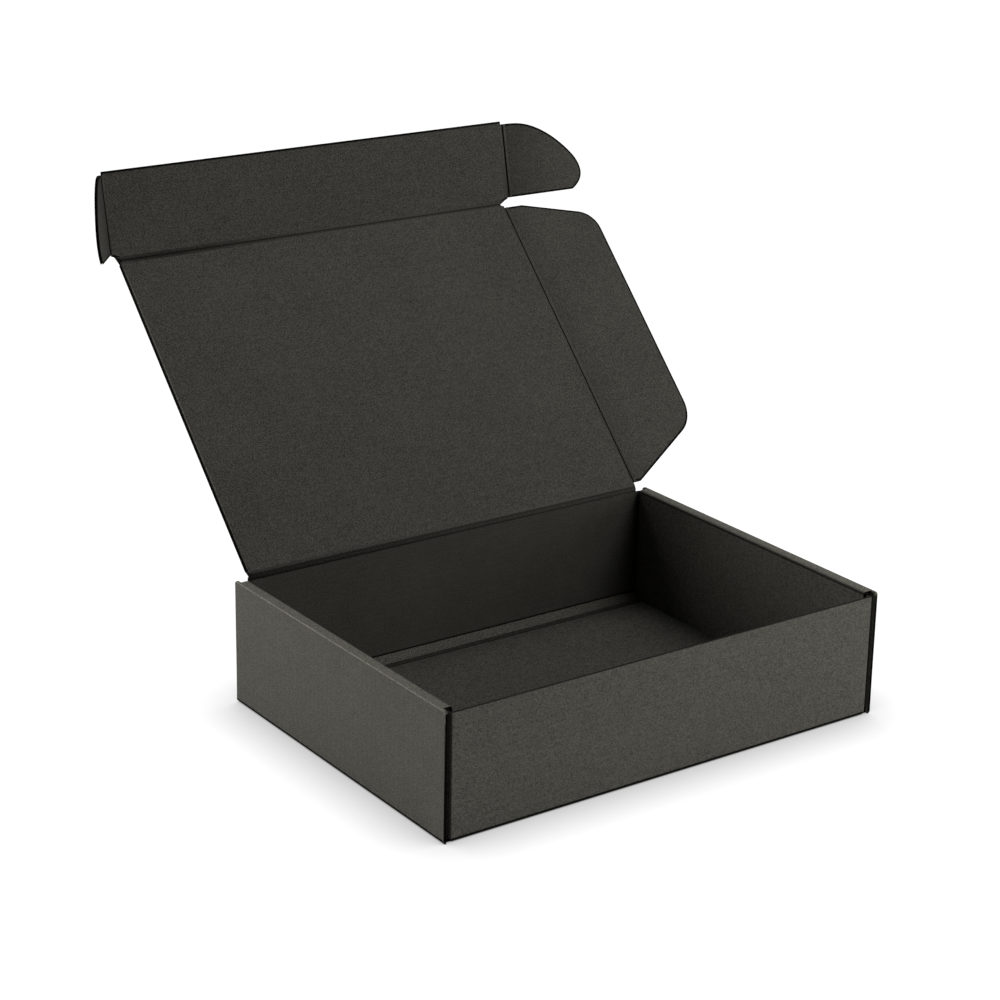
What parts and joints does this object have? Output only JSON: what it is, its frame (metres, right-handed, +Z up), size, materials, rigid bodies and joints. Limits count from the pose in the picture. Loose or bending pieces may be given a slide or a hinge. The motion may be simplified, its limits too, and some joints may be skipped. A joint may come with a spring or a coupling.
{
  "type": "die-cut mailing box",
  "caption": "Low rectangular die-cut mailing box of black corrugated board, standing open, with hinged lid, outside front flap, rounded locking ears and tapered dust flaps.",
  "frame": {"origin": "centre of the tray's underside, on the surface that it stands on", "axes": "+X to the right seen from the front, +Y to the hinged back wall, +Z up"},
  "size_m": [0.5578, 0.5432, 0.4028],
  "materials": {
    "board": "matte black kraft liner on brown-black fluting"
  },
  "bodies": {
    "tray": {"tray": "board"},
    "lid": {"lid": "board"},
    "front_flap": {"front_flap": "board"},
    "dust_flap_right": {"dust_flap_right": "board"},
    "dust_flap_left": {"dust_flap_left": "board"},
    "ear_right": {"ear_right": "board"},
    "ear_left": {"ear_left": "board"}
  },
  "joints": [
    {"name": "lid_hinge", "type": "hinge", "parent": "tray", "child": "lid", "pos_m": [0, 0.15125, 0.10905], "axis": [-1, 0, 0], "range_deg": [-134.4, 45.6]},
    {"name": "front_flap_hinge", "type": "hinge", "parent": "lid", "child": "front_flap", "pos_m": [0, 0.36486, 0.32718], "axis": [-1, 0, 0], "range_deg": [-57.3, 77.7]},
    {"name": "dust_flap_right_hinge", "type": "hinge", "parent": "lid", "child": "dust_flap_right", "pos_m": [0.2009, 0.15125, 0.10905], "axis": [0, 0.6997, 0.7145], "range_deg": [-90, 125]},
    {"name": "dust_flap_left_hinge", "type": "hinge", "parent": "lid", "child": "dust_flap_left", "pos_m": [-0.2009, 0.15125, 0.10905], "axis": [0, -0.6997, -0.7145], "range_deg": [-212, 3]},
    {"name": "ear_right_hinge", "type": "hinge", "parent": "front_flap", "child": "ear_right", "pos_m": [0.20905, 0.36486, 0.32718], "axis": [0, 0.2028, 0.9792], "range_deg": [-95, 40]},
    {"name": "ear_left_hinge", "type": "hinge", "parent": "front_flap", "child": "ear_left", "pos_m": [-0.20905, 0.36486, 0.32718], "axis": [0, -0.2028, -0.9792], "range_deg": [-30.6, 104.4]}
  ]
}
